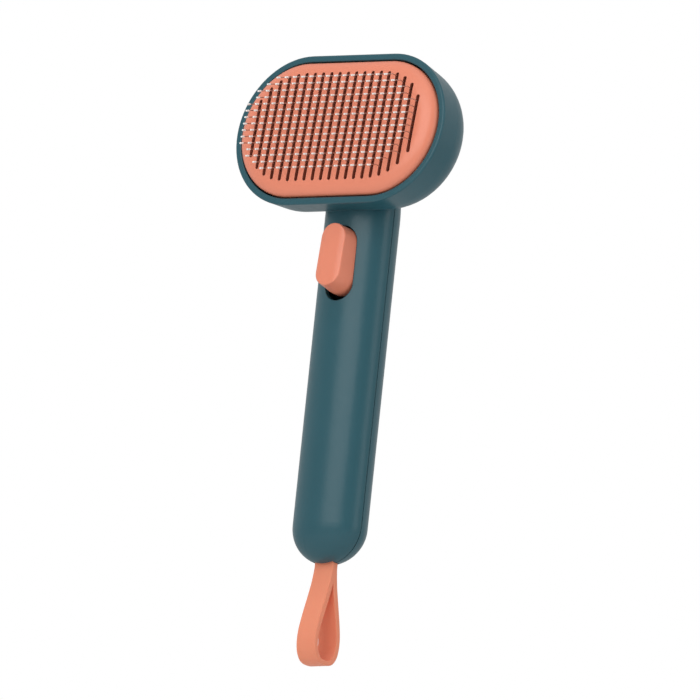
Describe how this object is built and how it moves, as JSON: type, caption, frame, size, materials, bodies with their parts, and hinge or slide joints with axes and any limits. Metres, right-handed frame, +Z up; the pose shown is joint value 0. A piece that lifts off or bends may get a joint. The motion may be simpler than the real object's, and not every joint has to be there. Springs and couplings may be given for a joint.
{
  "type": "self-cleaning slicker brush",
  "caption": "Hand brush for pets with a wide oval head of fine bent pins, a slotted plate that pushes hair off when the thumb trigger is pressed, and a strap loop.",
  "frame": {"origin": "middle of the underside of the whole object's bounding box, below the lowest point of the strap loop", "axes": "+X across the head, +Y towards the back of the brush (pins and trigger face -Y), +Z up along the handle towards the head"},
  "size_m": [0.0996, 0.0466, 0.2364],
  "materials": {
    "teal_plastic": "moulded, fine satin grain",
    "coral_plastic": "moulded, fine satin grain",
    "coral_inner": "moulded, plain",
    "steel_wire": "drawn, bright",
    "white_resin": "dipped, smooth",
    "zinc_screw": "zinc plated",
    "steel_pin": "ground",
    "spring_steel": "drawn",
    "white_acetal": "moulded, smooth",
    "black_nylon": "moulded, satin",
    "grey_silicone": "moulded",
    "coral_silicone": "moulded, matt"
  },
  "bodies": {
    "housing": {"front_housing": "teal_plastic", "rear_housing": "teal_plastic", "housing_screws": "zinc_screw", "screw_plugs": "teal_plastic", "pin_plate": "coral_inner", "pin_backing": "coral_inner", "pins": "steel_wire", "pin_tips": "white_resin", "pin_plate_screws": "zinc_screw", "guide_bushes": "white_acetal", "bump_stops": "grey_silicone", "pivot_pin": "steel_pin", "loop_pin": "steel_pin", "trigger_spring": "spring_steel", "return_springs": "spring_steel"},
    "trigger": {"trigger_button": "coral_plastic", "trigger_lever": "black_nylon", "lever_screw": "zinc_screw", "pivot_bush": "white_acetal", "drive_pin": "steel_pin"},
    "stripper": {"face_plate": "coral_plastic", "crossbar": "black_nylon", "crossbar_screws": "zinc_screw"},
    "strap": {"hanging_loop": "coral_silicone"}
  },
  "joints": [
    {"name": "trigger_hinge", "type": "hinge", "parent": "housing", "child": "trigger", "pos_m": [0, 0.00561, 0.1675], "axis": [1, 0, 0], "range_deg": [0, 12.6], "deforming": ["trigger_spring"]},
    {"name": "plate_slide", "type": "slide", "parent": "housing", "child": "stripper", "axis": [0, -0.9919, 0.1271], "range_m": [0, 0.008], "deforming": ["return_springs"]},
    {"name": "loop_swing", "type": "hinge", "parent": "housing", "child": "strap", "pos_m": [0, 0.01001, 0.0441], "axis": [1, 0, 0], "range_deg": [-12, 12]}
  ],
  "couplings": [
    {"joint": "trigger_hinge", "follows": "plate_slide", "rad_per_m": 27.47}
  ]
}
